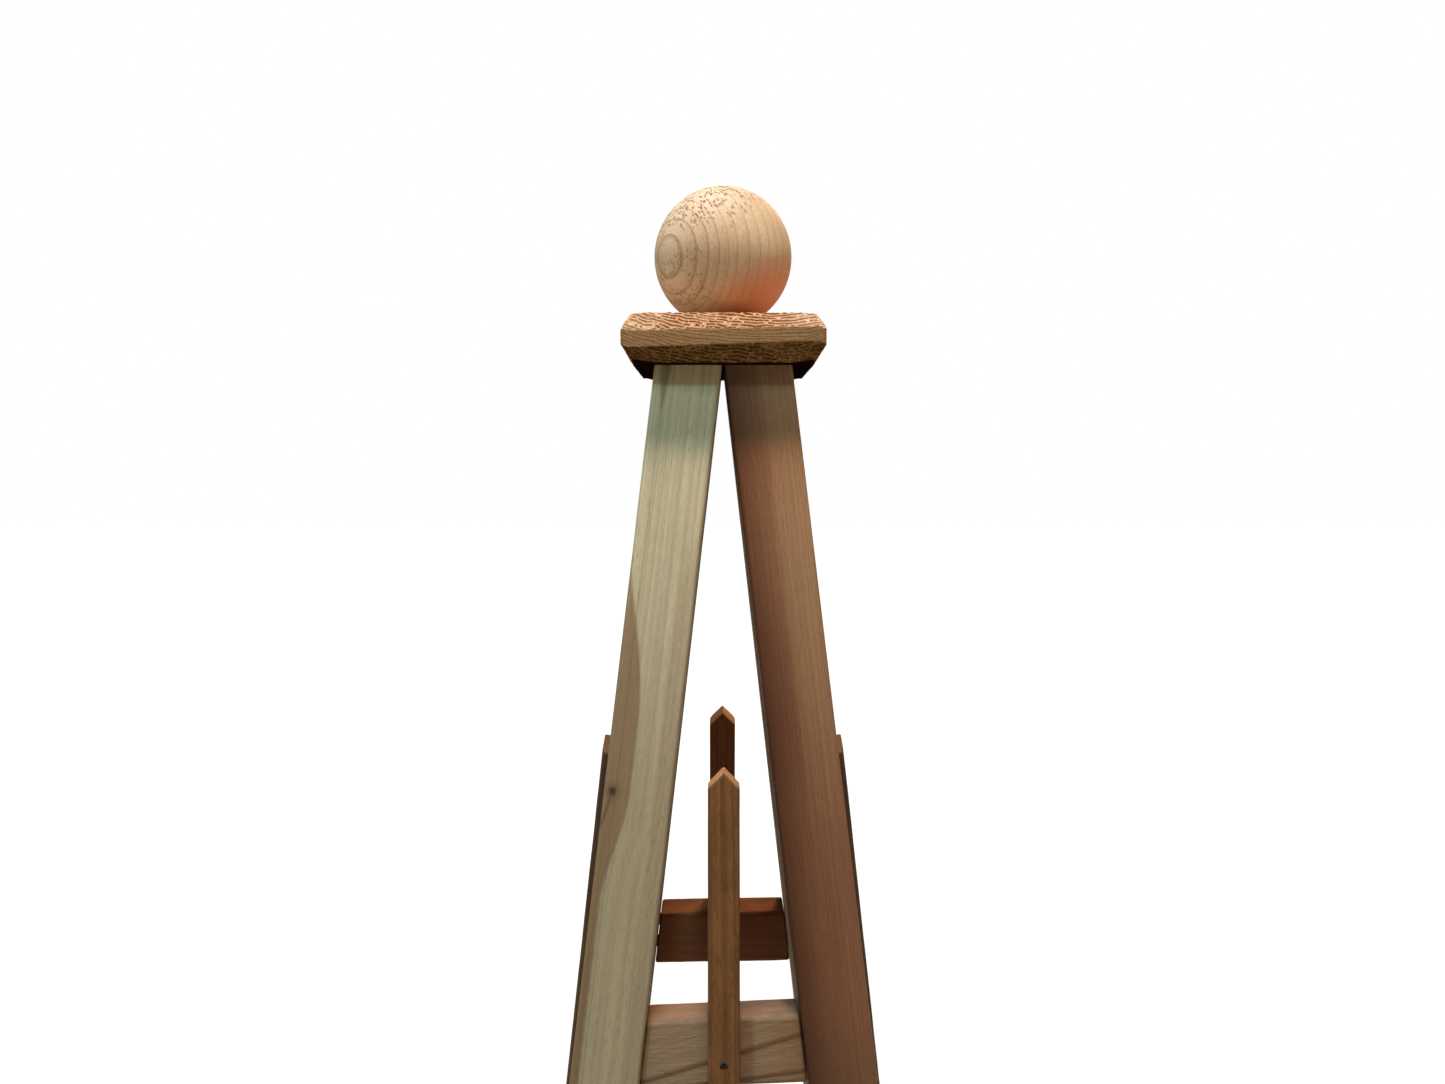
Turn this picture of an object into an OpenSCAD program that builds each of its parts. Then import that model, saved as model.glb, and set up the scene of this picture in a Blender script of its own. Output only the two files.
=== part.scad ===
// Timber garden obelisk: four leaning legs under a bevelled cap and a ball finial,
// four levels of doweled rails, and one pointed lath up the middle of each side.
// The frame stands on z = 0 with its axis on Z and its front face towards -Y.

/* [Overall] */
// Height from the ground to the underside of the cap
leg_height = 1720; // [1600:10:2200]
// Sideways lean of every face, in mm of lean for each mm of height
slope = 0.116; // [0.08:0.002:0.14]

/* [Legs] */
// Thickness of the square legs
leg = 38; // [37:1:50]
// Gap between neighbouring legs under the cap
top_gap = 1.5; // [0.5:0.5:6]
// Radius on the long edges of a leg
leg_edge = 2.5; // [1:0.5:5]

/* [Rails] */
// Height of a rail, measured up the slope of its face
rail_height = 38; // [28:1:45]
// Thickness of a rail
rail_thick = 22; // [20:1:25]
// How far the rail's face lies behind the outer face of the legs
rail_inset = 6.5; // [4:0.5:8]
// Radius on the long edges of a rail
rail_edge = 3; // [1:0.5:5]
// Height of the lowest rail's centre above the ground
rail_first = 198; // [120:1:300]
// Height from one rail's centre to the next
rail_pitch = 380; // [300:10:420]
// Open joint line between the end of a rail and the leg
joint_gap = 0.4; // [0.1:0.1:1]

/* [Laths] */
// Width of a lath
lath_width = 17.5; // [14:0.5:24]
// Thickness of a lath
lath_thick = 15; // [12:0.5:20]
// Radius on the long edges of a lath
lath_edge = 2; // [1:0.5:4]
// Length of lath below the centre of the lowest rail
lath_tail = 60; // [30:5:110]
// Length of lath above the centre of the top rail, to its point
lath_head = 157; // [80:1:200]

/* [Cap and finial] */
// Side of the square cap
cap_side = 113; // [100:1:140]
// Thickness of the cap
cap_thick = 27; // [24:1:35]
// Set-back of the bevel round the top of the cap
cap_top_in = 5; // [3:0.5:8]
// Height of the bevel round the top of the cap
cap_top_fall = 9.5; // [6:0.5:12]
// Set-back of the bevel round the underside of the cap
cap_low_in = 5.5; // [3:0.5:8]
// Height of the bevel round the underside of the cap
cap_low_rise = 9.5; // [5:0.5:12]
// Radius on the four upright corners of the cap
cap_corner = 4; // [1:0.5:8]
// Diameter of the ball
ball_d = 82; // [70:1:100]
// Height cut off the bottom of the ball for its seat
ball_cut = 0.5; // [0.5:0.5:6]

/* [Joinery] */
// Diameter of the beech dowels in the rail ends
dowel_d = 8; // [6:1:10]
// Length of a dowel inside the rail
dowel_in_rail = 16; // [12:1:20]
// Length of a dowel inside the leg
dowel_in_leg = 14; // [10:1:15]
// Height between the two dowels of a rail end
dowel_pitch = 17; // [14:1:19]
// Length of the screws that hold the laths
lath_screw = 30; // [24:1:33]
// Depth of a lath screw's head below the face of the lath
lath_sink = 2.5; // [1:0.5:4]
// Length of the screws that hold the cap
cap_screw = 60; // [45:5:75]
// Length of the double-ended screw that holds the ball
ball_screw = 56; // [50:1:60]

/* [Hidden] */
$fn = 48;
SIDES = ["front", "right", "back", "left"];
LEVELS = ["bottom", "lower", "upper", "top"];
CORNERS = ["front_left", "front_right", "back_right", "back_left"];

pale_cedar = [0.72, 0.63, 0.46];
red_cedar = [0.48, 0.30, 0.20];
brown_cedar = [0.52, 0.36, 0.20];
beech = [0.80, 0.66, 0.47];
steel = [0.45, 0.45, 0.46];
LEG_COLOURS = [pale_cedar, red_cedar, pale_cedar, red_cedar];

lean = atan(slope);
leg_across = leg / cos(lean);             // a leg's thickness measured level
top_half = leg_across + top_gap / 2;      // half the frame's width under the cap
base_half = half_width(0);
rail_depth = rail_inset + rail_thick / 2; // centre of a rail, in from the legs' faces
fit = 0.05;                               // radial play of dowels and screws in bores
over = 1;                                 // overrun of a cutter past the face it cuts
big = 3 * leg_height;

// Lath screw: a small trim head. Cap screw: countersunk. Finial screw: no head.
lath_head_r = 2.3;
lath_bore_r = 1.6;
cap_head_r = 4.2;
cap_head_h = 3.2;
cap_bore_r = 2.2;
ball_bore_r = 4;
ball_screw_low = 22;                      // length of the finial screw inside the cap
bore_end = 1;                             // air left beyond the tip of a screw or dowel
drive = 2.2;                              // square socket across its flats

function half_width(z) = top_half + slope * (leg_height - z);
function inner_x(z) = half_width(z) - leg_across;
function rail_z(level) = rail_first + rail_pitch * level;
// Distance up a face, at depth d behind it, of the point at height z.
function up_face(z, d) = (z + d * sin(lean)) / cos(lean);
function rail_u(level) = up_face(rail_z(level), rail_depth);

// Places things on side k: x along the face, y in through it, z up its slope.
module on_face(k) {
    rotate([0, 0, 90 * k])
        translate([0, -base_half, 0])
            rotate([-lean, 0, 0])
                children();
}

module round_rect(w, h, r) {
    square([w - 2 * r, h], center = true);
    square([w, h - 2 * r], center = true);
    for (x = [-1, 1], y = [-1, 1])
        translate([x * (w / 2 - r), y * (h / 2 - r)])
            circle(r);
}

// A threaded shank of length l from z = 0 downwards, tapering to a point.
module shank(l, r, pitch, tip) {
    turns = floor((l - tip) / pitch);
    core = 0.72 * r;
    rotate_extrude()
        polygon([
            [0, 0],
            [core, 0],
            for (i = [0 : turns - 1]) each [
                [core, -(i + 0.3) * pitch],
                [r, -(i + 0.65) * pitch],
                [core, -(i + 1) * pitch]
            ],
            [core, -(l - tip)],
            [0, -l]
        ]);
}

module socket(depth) {
    translate([-drive / 2, -drive / 2, -depth])
        cube([drive, drive, depth + over]);
}

// ---- Legs -------------------------------------------------------------------

// A leg's section is square but for the small skew that lets each of its faces
// lie in a face of the pyramid.
skew = asin(slope * slope / (1 + slope * slope));

module leg_section() {
    h = leg / 2;
    c = h - leg_edge;
    function centre(i, j) = [i * c, (j * c - i * c * sin(skew)) / cos(skew)];
    function on_side(i, j) = centre(i, j) + [i * leg_edge, 0];
    function on_front(i, j) = centre(i, j) + j * leg_edge * [sin(skew), cos(skew)];
    polygon([
        on_side(1, -1), on_side(1, 1), on_front(1, 1), on_front(-1, 1),
        on_side(-1, 1), on_side(-1, -1), on_front(-1, -1), on_front(1, -1)
    ]);
    for (i = [-1, 1], j = [-1, 1])
        translate(centre(i, j))
            circle(leg_edge);
}

module leg_stick() {
    foot = base_half - leg_across / 2;
    tilt_x = -asin(slope / sqrt(1 + 2 * slope * slope));
    intersection() {
        translate([-foot, -foot, 0])
            rotate([tilt_x, lean, 0])
                translate([0, 0, -leg])
                    linear_extrude(leg_height * 1.1)
                        leg_section();
        translate([-big / 2, -big / 2, 0])
            cube([big, big, leg_height]);
    }
}

module leg_at(k) {
    color(LEG_COLOURS[k])
        rotate([0, 0, 90 * k])
            difference() {
                leg_stick();
                for (level = [0 : len(LEVELS) - 1]) {
                    dowel_pair(0, level, -1, dowel_d / 2, bore_end);
                    dowel_pair(3, level, 1, dowel_d / 2, bore_end);
                }
                cap_screw_place(0)
                    translate([0, 0, -cap_screw - bore_end])
                        cylinder(r = cap_bore_r + fit, h = cap_screw);
            }
}

// ---- Rails ------------------------------------------------------------------

// The two dowels at one end of a rail, or their bores when longer by extra.
module dowel_pair(k, level, end, r, extra) {
    x0 = inner_x(rail_z(level));
    long = dowel_in_rail + dowel_in_leg + 2 * extra;
    on_face(k)
        for (j = [-1, 1])
            translate([
                end * (x0 + (dowel_in_leg - dowel_in_rail) / 2),
                rail_depth,
                rail_u(level) + j * dowel_pitch / 2
            ])
                rotate([0, 90, 0])
                    cylinder(r = r, h = long, center = true);
}

// The space between the legs of side 0, less the joint gap, round one level.
module between_legs(level) {
    z0 = rail_z(level) - rail_height;
    z1 = rail_z(level) + rail_height;
    x0 = inner_x(z0) - joint_gap;
    x1 = inner_x(z1) - joint_gap;
    rotate([90, 0, 0])
        linear_extrude(big, center = true)
            polygon([[-x0, z0], [x0, z0], [x1, z1], [-x1, z1]]);
}

module rail(k, level) {
    color(brown_cedar)
        rotate([0, 0, 90 * k])
            difference() {
                intersection() {
                    on_face(0)
                        translate([0, rail_depth, rail_u(level)])
                            rotate([90, 0, 90])
                                linear_extrude(2 * base_half, center = true)
                                    round_rect(rail_thick, rail_height, rail_edge);
                    between_legs(level);
                }
                for (end = [-1, 1])
                    dowel_pair(0, level, end, dowel_d / 2, bore_end);
                lath_screw_bore(level);
            }
}

module rail_dowels(level) {
    color(beech)
        for (k = [0 : 3], end = [-1, 1])
            dowel_pair(k, level, end, dowel_d / 2 - fit, 0);
}

// ---- Laths ------------------------------------------------------------------

module lath_outline() {
    low = rail_u(0) - lath_tail;
    tip = rail_u(len(LEVELS) - 1) + lath_head;
    w = lath_width / 2;
    polygon([[-w, low], [w, low], [w, tip - w], [0, tip], [-w, tip - w]]);
}

module lath(k) {
    color(brown_cedar)
        rotate([0, 0, 90 * k])
            difference() {
                on_face(0)
                    intersection() {
                        translate([0, rail_inset, 0])
                            rotate([90, 0, 0])
                                linear_extrude(lath_thick)
                                    lath_outline();
                        translate([0, rail_inset - lath_thick / 2, 0])
                            linear_extrude(big)
                                round_rect(lath_width, lath_thick, lath_edge);
                    }
                for (level = [0 : len(LEVELS) - 1]) {
                    lath_screw_bore(level);
                    lath_screw_sink(level);
                }
            }
}

// Puts z = 0 on the outer face of the front lath at one rail, z out of the face.
module lath_screw_place(level) {
    on_face(0)
        translate([0, rail_inset - lath_thick, rail_u(level)])
            rotate([90, 0, 0])
                children();
}

module lath_screw_bore(level) {
    lath_screw_place(level)
        translate([0, 0, -lath_sink - lath_screw - bore_end])
            cylinder(r = lath_bore_r + fit, h = lath_screw + bore_end);
}

module lath_screw_sink(level) {
    lath_screw_place(level)
        translate([0, 0, -lath_sink - 2.5])
            cylinder(r = lath_head_r + fit, h = lath_sink + 2.5 + over);
}

module trim_screw() {
    head = 2.4;
    difference() {
        union() {
            translate([0, 0, -head])
                cylinder(r = lath_head_r, h = head);
            translate([0, 0, -head])
                shank(lath_screw - head, lath_bore_r, 1.5, 3);
        }
        socket(1.4);
    }
}

module lath_screws(k) {
    color(steel)
        rotate([0, 0, 90 * k])
            for (level = [0 : len(LEVELS) - 1])
                lath_screw_place(level)
                    translate([0, 0, -lath_sink])
                        trim_screw();
}

// ---- Cap and finial -----------------------------------------------------------

module cap_profile() {
    h = cap_side / 2;
    t = cap_thick;
    polygon([
        [-h + cap_low_in, 0], [h - cap_low_in, 0], [h, cap_low_rise],
        [h, t - cap_top_fall], [h - cap_top_in, t], [-h + cap_top_in, t],
        [-h, t - cap_top_fall], [-h, cap_low_rise]
    ]);
}

// Puts z = 0 on the top of the cap over the middle of leg k.
module cap_screw_place(k) {
    at = top_half - leg_across / 2;
    rotate([0, 0, 90 * k])
        translate([-at, -at, leg_height + cap_thick])
            children();
}

module cap() {
    color(pale_cedar)
        difference() {
            translate([0, 0, leg_height])
                intersection() {
                    rotate([90, 0, 0])
                        linear_extrude(cap_side, center = true)
                            cap_profile();
                    rotate([90, 0, 90])
                        linear_extrude(cap_side, center = true)
                            cap_profile();
                    linear_extrude(cap_thick)
                        round_rect(cap_side, cap_side, cap_corner);
                }
            for (k = [0 : 3])
                cap_screw_place(k) {
                    translate([0, 0, -cap_thick - over])
                        cylinder(r = cap_bore_r + fit, h = cap_thick + 2 * over);
                    translate([0, 0, -cap_head_h])
                        cylinder(r1 = cap_bore_r + fit, r2 = cap_head_r + fit, h = cap_head_h);
                    translate([0, 0, -fit])
                        cylinder(r = cap_head_r + fit, h = over);
                }
            finial_bore();
        }
}

module cap_screws() {
    color(steel)
        for (k = [0 : 3])
            cap_screw_place(k)
                difference() {
                    union() {
                        translate([0, 0, -cap_head_h - fit])
                            cylinder(r1 = cap_bore_r - fit, r2 = cap_head_r, h = cap_head_h);
                        translate([0, 0, -cap_head_h - fit])
                            shank(cap_screw - cap_head_h, cap_bore_r, 2.2, 5);
                    }
                    socket(2.4);
                }
}

module finial_bore() {
    cap_top = leg_height + cap_thick;
    translate([0, 0, cap_top - ball_screw_low - bore_end])
        cylinder(r = ball_bore_r + fit, h = ball_screw + 2 * bore_end);
}

module ball_finial() {
    seat = leg_height + cap_thick;
    color(pale_cedar)
        difference() {
            translate([0, 0, seat + ball_d / 2 - ball_cut])
                sphere(d = ball_d);
            translate([-ball_d, -ball_d, seat - ball_d])
                cube([2 * ball_d, 2 * ball_d, ball_d]);
            finial_bore();
        }
}

module finial_screw() {
    cap_top = leg_height + cap_thick;
    middle = 2;
    up = ball_screw - ball_screw_low;
    color(steel)
        translate([0, 0, cap_top]) {
            cylinder(r = ball_bore_r * 0.72, h = middle);
            shank(ball_screw_low, ball_bore_r, 2.8, 4);
            translate([0, 0, middle])
                mirror([0, 0, 1])
                    shank(up - middle, ball_bore_r, 2.8, 4);
        }
}

// ---- Nodes --------------------------------------------------------------------

for (k = [0 : 3]) {
    leg_at(k);
    lath(k);
    lath_screws(k);
    rail_dowels(k);
    for (level = [0 : len(LEVELS) - 1])
        rail(k, level);
}
cap();
ball_finial();
finial_screw();
cap_screws();
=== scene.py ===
"""Looks for the timber garden obelisk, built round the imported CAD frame.

The legs, rails, laths, cap and ball are rebuilt here with worn arrises, eased ends and torn grain,
each in its CAD node's place, and carry their own coordinates along and across the grain for their
timber. The screws and dowels stay CAD nodes and take new materials. Lengths are in metres."""

import math

import bpy
import numpy as np
from mathutils import Matrix, Vector


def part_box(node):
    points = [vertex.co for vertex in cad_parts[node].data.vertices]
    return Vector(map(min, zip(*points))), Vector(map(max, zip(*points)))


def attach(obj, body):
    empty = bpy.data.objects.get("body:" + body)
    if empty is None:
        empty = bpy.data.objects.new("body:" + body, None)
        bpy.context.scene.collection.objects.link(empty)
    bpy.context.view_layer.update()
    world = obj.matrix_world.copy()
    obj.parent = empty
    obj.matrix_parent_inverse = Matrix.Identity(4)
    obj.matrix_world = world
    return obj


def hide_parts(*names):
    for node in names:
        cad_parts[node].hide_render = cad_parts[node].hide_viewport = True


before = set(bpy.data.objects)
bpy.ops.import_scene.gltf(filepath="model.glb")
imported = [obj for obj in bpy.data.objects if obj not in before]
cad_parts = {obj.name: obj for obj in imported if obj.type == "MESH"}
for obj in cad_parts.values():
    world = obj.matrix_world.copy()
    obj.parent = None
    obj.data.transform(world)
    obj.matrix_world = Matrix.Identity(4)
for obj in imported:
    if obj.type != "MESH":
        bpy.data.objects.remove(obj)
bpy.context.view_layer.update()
scene = bpy.context.scene

BODY = "root"
SIDES = ("front", "right", "back", "left")
LEVELS = ("bottom", "lower", "upper", "top")
CORNERS = ("front_left", "front_right", "back_right", "back_left")

# ---- Sizes -------------------------------------------------------------------

LEG = 0.038                # side of a leg
LEG_EDGE = 0.0025          # radius of its long edges
RAIL_HEIGHT = 0.038
RAIL_THICK = 0.022
RAIL_EDGE = 0.003
RAIL_INSET = 0.0065        # rail's face behind the outer face of the legs
JOINT_GAP = 0.0004         # between a rail's end and its leg
LATH_THICK = 0.015
LATH_EDGE = 0.002
SCREW_HOLE_R = 0.00235     # recess for the head of a lath screw
SCREW_HOLE_DEEP = 0.005
CAP_TOP_IN, CAP_TOP_FALL = 0.005, 0.0095     # bevel round the top of the cap
CAP_LOW_IN, CAP_LOW_RISE = 0.0055, 0.0095    # bevel round its underside
CAP_CORNER = 0.004         # radius of its corners, seen from above
CAP_CORNER_LIFT = 0.0021   # how far the corners of its underside are worn up
CAP_CORNER_DROP = 0.0009   # how far the corners of its top are worn down
WORN_BAND = 0.0025         # how far from a long edge its wear reaches
LEAST_RADIUS = 0.0003      # of a rounded edge where an end is eased

leg_low, leg_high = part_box("leg_front_left")
rail_low, rail_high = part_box("rail_front_bottom"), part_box("rail_front_top")
cap_low, cap_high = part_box("cap")
ball_low, ball_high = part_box("ball_finial")
lath_low, lath_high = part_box("lath_front")

BASE_HALF = -leg_low.x
LEG_TOP = leg_high.z
SLOPE = (rail_low[1].x - rail_high[1].x) / (rail_high[0].z - rail_low[0].z)
LEAN = math.atan(SLOPE)
RAIL_DEPTH = RAIL_INSET + RAIL_THICK / 2
LATH_WIDTH = lath_high.x - lath_low.x
BALL_R = (ball_high.x - ball_low.x) / 2
CAP_HALF = cap_high.x
CAP_THICK = cap_high.z - cap_low.z
HALF_LEG = (LEG / 2, LEG / 2)
HALF_RAIL = (RAIL_HEIGHT / 2, RAIL_THICK / 2)
HALF_LATH = (LATH_WIDTH / 2, LATH_THICK / 2)


def up_face(z, depth):
    """Distance up a face, at a depth behind it, of the point at height z."""
    return (z + depth * math.sin(LEAN)) / math.cos(LEAN)


def side_matrix(k):
    """Frame of side k: x along the face, y in through it, z up its slope."""
    return (Matrix.Rotation(k * math.pi / 2, 4, "Z") @ Matrix.Translation((0, -BASE_HALF, 0))
            @ Matrix.Rotation(-LEAN, 4, "X"))


def ramp(value, start, length):
    """0 up to start, rising evenly to 1 over this length."""
    return np.clip((value - start) / length, 0, 1)


def ripple(t, seed):
    """A repeatable wandering value of about -1 to 1 at each place t, with waves 105 to 4 mm long."""
    rng = np.random.default_rng(seed)
    total = np.zeros_like(np.asarray(t, float))
    for i in range(7):
        total += np.sin(60.0 * (1.7 ** i) * t + rng.uniform(0, math.tau)) / (i + 1.5)
    return total / 1.6


def rough(points, seed, shortest, longest, waves=40):
    """A repeatable rough field of about -1 to 1 at each point, with waves of these lengths."""
    rng = np.random.default_rng(seed)
    total = np.zeros(len(points))
    for _ in range(waves):
        direction = rng.normal(size=3)
        length = rng.uniform(shortest, longest)
        vector = direction / np.linalg.norm(direction) * math.tau / length
        total += np.sin(points @ vector + rng.uniform(0, math.tau))
    return np.clip(total * math.sqrt(2 / waves) / 1.6, -1.2, 1.2)


# ---- Pieces ------------------------------------------------------------------

def add_object(name, data):
    made = bpy.data.objects.new(name, data)
    scene.collection.objects.link(made)
    return made


def place_piece(name, node, mesh, matrix, material):
    """Stores each point's grain coordinates, moves the mesh into place and hands it to the frame."""
    co = np.empty(len(mesh.vertices) * 3, np.float32)
    mesh.vertices.foreach_get("co", co)
    grain = mesh.attributes.get("grain") or mesh.attributes.new("grain", "FLOAT_VECTOR", "POINT")
    grain.data.foreach_set("vector", co)
    mesh.transform(matrix)
    mesh.materials.clear()
    mesh.materials.append(material)
    piece = add_object(name, mesh)
    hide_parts(node)
    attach(piece, BODY)
    return piece


def make_mesh(name, points, faces):
    mesh = bpy.data.meshes.new(name)
    mesh.from_pydata(points, [], faces)
    mesh.update()
    return mesh


def quads(index):
    """The faces between rings of points, whose indices are an array of (ring, point)."""
    nxt = np.roll(index, -1, axis=1)
    return np.stack([index[:-1], nxt[:-1], nxt[1:], index[1:]], -1).reshape(-1, 4)


def smooth(mesh, sharp_degrees):
    mesh.shade_smooth()
    mesh.set_sharp_from_angle(angle=math.radians(sharp_degrees))


def even_normals(piece):
    """Lets the flat faces of a piece stay flat beside its rounded edges."""
    even = piece.modifiers.new("even_normals", "WEIGHTED_NORMAL")
    even.keep_sharp = True


# The signs of x and y at the four corners of a section, and the steps round each.
QUARTERS = ((1, -1), (1, 1), (-1, 1), (-1, -1))
ARC_STEPS = 5


def rounded_section(half_x, half_y, radius, flat_steps=6, skew=0.0):
    """Returns a function that gives the points round a rounded rectangle, set in by an amount."""
    def points(inset=0.0):
        hx, hy = half_x - inset, half_y - inset
        r = max(radius - inset, LEAST_RADIUS)
        corners = []
        for quarter, (i, j) in enumerate(QUARTERS):
            cx = i * (hx - r)
            cy = (j * (hy - r) - cx * math.sin(skew)) / math.cos(skew)
            turn = np.linspace(0, math.pi / 2, ARC_STEPS + 1) + (quarter - 1) * math.pi / 2
            corners.append(np.stack([cx + r * np.cos(turn), cy + r * np.sin(turn)], 1))
        out = []
        for k in range(4):
            out.append(corners[k])
            a, b = corners[k][-1], corners[(k + 1) % 4][0]
            f = np.linspace(0, 1, flat_steps + 1)[1:-1, None]
            out.append(a + (b - a) * f)
        return np.concatenate(out)
    return points


def bar_rings(section, z_start, z_end, step, start_round, end_round):
    """The points of a bar along Z, as an array of (ring, point, 3), with its ends eased.

    z_start and z_end are its end surfaces, as functions of (x, y)."""
    rings = []
    quarter = np.linspace(0, math.pi / 2, 4)
    for a in quarter[:-1]:
        p = section(start_round * (1 - math.sin(a)))
        rings.append(np.column_stack([p, z_start(p) + start_round * (1 - math.cos(a))]))
    p = section()
    low, high = z_start(p) + start_round, z_end(p) - end_round
    count = max(2, round(float((high - low).mean()) / step))
    for f in np.linspace(0, 1, count + 1):
        rings.append(np.column_stack([p, low + (high - low) * f]))
    for a in quarter[::-1][1:]:
        p = section(end_round * (1 - math.sin(a)))
        rings.append(np.column_stack([p, z_end(p) - end_round * (1 - math.cos(a))]))
    return np.stack(rings)


def wear_edges(rings, section, wear, seed):
    """Wears the long edges of a bar unevenly, by up to wear."""
    full = section()
    reach = np.abs(full).max(0)
    nearness = np.clip((np.abs(full) - reach + WORN_BAND) / WORN_BAND, 0, 1).prod(1)
    for corner, (i, j) in enumerate(QUARTERS):
        mine = (np.sign(full[:, 0]) == i) & (np.sign(full[:, 1]) == j)
        z = rings[:, mine, 2]
        amount = wear * np.clip(0.35 + ripple(z, seed * 7 + corner), 0, 1) * nearness[mine]
        rings[:, mine, 0] -= i * amount
        rings[:, mine, 1] -= j * amount


def bar(name, section, ends, step, start_round, end_round, wear, seed, ridge=False):
    """A bar along Z between two end surfaces. With a ridge, its end slopes to both sides of x = 0."""
    rings = bar_rings(section, *ends, step, start_round, end_round)
    wear_edges(rings, section, wear, seed)
    levels, around = rings.shape[:2]
    index = np.arange(levels * around).reshape(levels, around)
    first, last = index[0][::-1].tolist(), index[-1].tolist()
    caps = [last]
    if ridge:
        a, b = sorted(int(i) for i in np.argsort(np.abs(rings[-1, :, 0]))[:2])
        caps = [last[a:b + 1], last[b:] + last[:a + 1]]
    return make_mesh(name, rings.reshape(-1, 3).tolist(), quads(index).tolist() + caps + [first])


def plane_reach(matrix, point, normal):
    """The local z at which a line along local Z through (x, y) meets a plane in the outer frame."""
    n = Vector(normal)
    along = n.dot(matrix.col[2].to_3d())

    def reach(p):
        across = np.outer(p[:, 0], matrix.col[0].to_3d()) + np.outer(p[:, 1], matrix.col[1].to_3d())
        start = across + np.array(matrix.col[3].to_3d()) - np.array(point)
        return -(start @ np.array(n)) / along
    return reach


def drill(mesh, heights, face_y):
    """Cuts a screw recess into the y = face_y face at each height."""
    rim = 24
    turn = np.arange(rim) * math.tau / rim
    points, faces = [], []
    for z in heights:
        base = len(points)
        for y in (face_y - 0.002, face_y + SCREW_HOLE_DEEP):
            points += [(SCREW_HOLE_R * math.cos(t), y, z + SCREW_HOLE_R * math.sin(t)) for t in turn]
        near, far = list(range(base, base + rim)), list(range(base + rim, base + 2 * rim))
        faces += [near, far[::-1]]
        faces += [[near[i - 1], far[i - 1], far[i], near[i]] for i in range(rim)]
    cutter_mesh = make_mesh("cutter", points, faces)
    cutter_mesh.validate()
    whole, cutter = add_object("drilled", mesh), add_object("cutter", cutter_mesh)
    cut = whole.modifiers.new("cut", "BOOLEAN")
    cut.object = cutter
    cut.operation = "DIFFERENCE"
    cut.solver = "EXACT"
    depsgraph = bpy.context.evaluated_depsgraph_get()
    drilled = bpy.data.meshes.new_from_object(whole.evaluated_get(depsgraph), depsgraph=depsgraph)
    for o in (whole, cutter):
        bpy.data.objects.remove(o)
    return drilled


def leg_piece(k, material):
    name = CORNERS[k]
    skew = math.asin(SLOPE ** 2 / (1 + SLOPE ** 2))
    foot = BASE_HALF - LEG / math.cos(LEAN) / 2
    tilt = -math.asin(SLOPE / math.sqrt(1 + 2 * SLOPE ** 2))
    matrix = (Matrix.Rotation(k * math.pi / 2, 4, "Z") @ Matrix.Translation((-foot, -foot, 0))
              @ Matrix.Rotation(LEAN, 4, "Y") @ Matrix.Rotation(tilt, 4, "X"))
    section = rounded_section(*HALF_LEG, LEG_EDGE, skew=skew)
    ends = [plane_reach(matrix, (0, 0, height), (0, 0, 1)) for height in (0, LEG_TOP)]
    mesh = bar(f"{name}_leg", section, ends, 0.006, start_round=0.0012, end_round=0.0, wear=0.0005,
               seed=k + 1)
    smooth(mesh, 40)
    even_normals(place_piece(f"{name}_leg", f"leg_{name}", mesh, matrix, material))


def rail_piece(k, level, tilt, material):
    """A rail, out of level by tilt, which rises to the right seen from outside."""
    node = f"rail_{SIDES[k]}_{LEVELS[level]}"
    low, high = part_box(node)
    centre = up_face((low.z + high.z) / 2, RAIL_DEPTH)
    turn = Matrix(((0, 0, -1), (0, 1, 0), (1, 0, 0))).to_4x4()
    matrix = (side_matrix(0) @ Matrix.Translation((0, RAIL_DEPTH, centre)) @ Matrix.Rotation(-tilt, 4, "Y")
              @ turn)
    half_at_ground = BASE_HALF - LEG / math.cos(LEAN) - JOINT_GAP
    ends = [plane_reach(matrix, (i * half_at_ground, 0, 0), (i, 0, SLOPE)) for i in (1, -1)]
    mesh = bar(node, rounded_section(*HALF_RAIL, RAIL_EDGE), ends, 0.004, start_round=0.0016,
               end_round=0.0016, wear=0.0006, seed=20 + 4 * k + level)
    smooth(mesh, 40)
    whole = Matrix.Rotation(k * math.pi / 2, 4, "Z") @ matrix
    even_normals(place_piece(f"{node}_bar", node, mesh, whole, material))


def lath_piece(k, material):
    """A lath with its pointed top and a screw recess over each rail."""
    node = f"lath_{SIDES[k]}"
    low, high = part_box(node)
    foot = up_face(low.z, RAIL_INSET)
    tip = up_face(high.z, RAIL_INSET - LATH_THICK)
    middle = RAIL_INSET - LATH_THICK / 2
    matrix = side_matrix(k) @ Matrix.Translation((0, middle, 0))
    ends = (lambda p: np.full(len(p), foot), lambda p: tip - np.abs(p[:, 0]))
    mesh = bar(node, rounded_section(*HALF_LATH, LATH_EDGE, flat_steps=4), ends, 0.006,
               start_round=0.0008, end_round=0.0006, wear=0.0005, seed=50 + k, ridge=True)
    boxes = [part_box(f"rail_{SIDES[k]}_{level}") for level in LEVELS]
    crossings = [up_face((lo.z + hi.z) / 2, RAIL_DEPTH) for lo, hi in boxes]
    mesh = drill(mesh, crossings, -LATH_THICK / 2)
    smooth(mesh, 32)
    even_normals(place_piece(f"{node}_strip", node, mesh, matrix, material))


# The cap's grid: cells along each side, and where the wear of its corners starts and how far it goes.
CAP_CELLS = 132
CAP_WALK = np.linspace(-1, 1, CAP_CELLS + 1)
CORNER_WEAR = (0.74, 0.26)
# How torn the cap's wood is: on the upper bevel, the sides, the lower bevel and the underside, whose value
# also picks out its painted near black shade.
TORN_OVER, TORN_NOT, TORN_UNDER, TORN_BELOW = 1.0, 0.0, -1.0, -2.0
SAWN_OVER, SAWN_NOT, SAWN_UNDER = 0.00022, 0.00005, 0.00016        # depth of the saw marks there


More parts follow.
